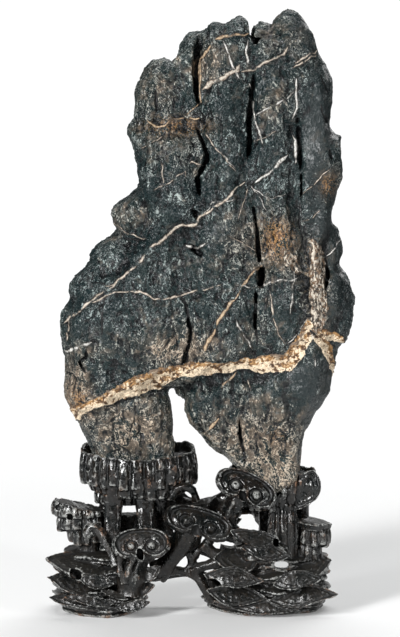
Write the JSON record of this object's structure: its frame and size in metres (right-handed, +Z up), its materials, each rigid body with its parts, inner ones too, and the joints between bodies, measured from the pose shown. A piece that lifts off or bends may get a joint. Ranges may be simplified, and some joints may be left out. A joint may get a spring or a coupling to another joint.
{
  "type": "scholars rock",
  "caption": "Upright dark table stone with pale veins and two legs, resting in the fluted sockets of a carved openwork hardwood stand.",
  "frame": {"origin": "on the ground, under the middle of the object's box", "axes": "+Z up along the stone, -Y towards the front face with the thick pale vein, +X to the viewer's right"},
  "size_m": [0.2628, 0.1258, 0.5221],
  "materials": {
    "dark_stone": "waxed",
    "dark_hardwood": "polished"
  },
  "bodies": {
    "root": {"rock": "dark_stone", "stand": "dark_hardwood"}
  },
  "joints": []
}
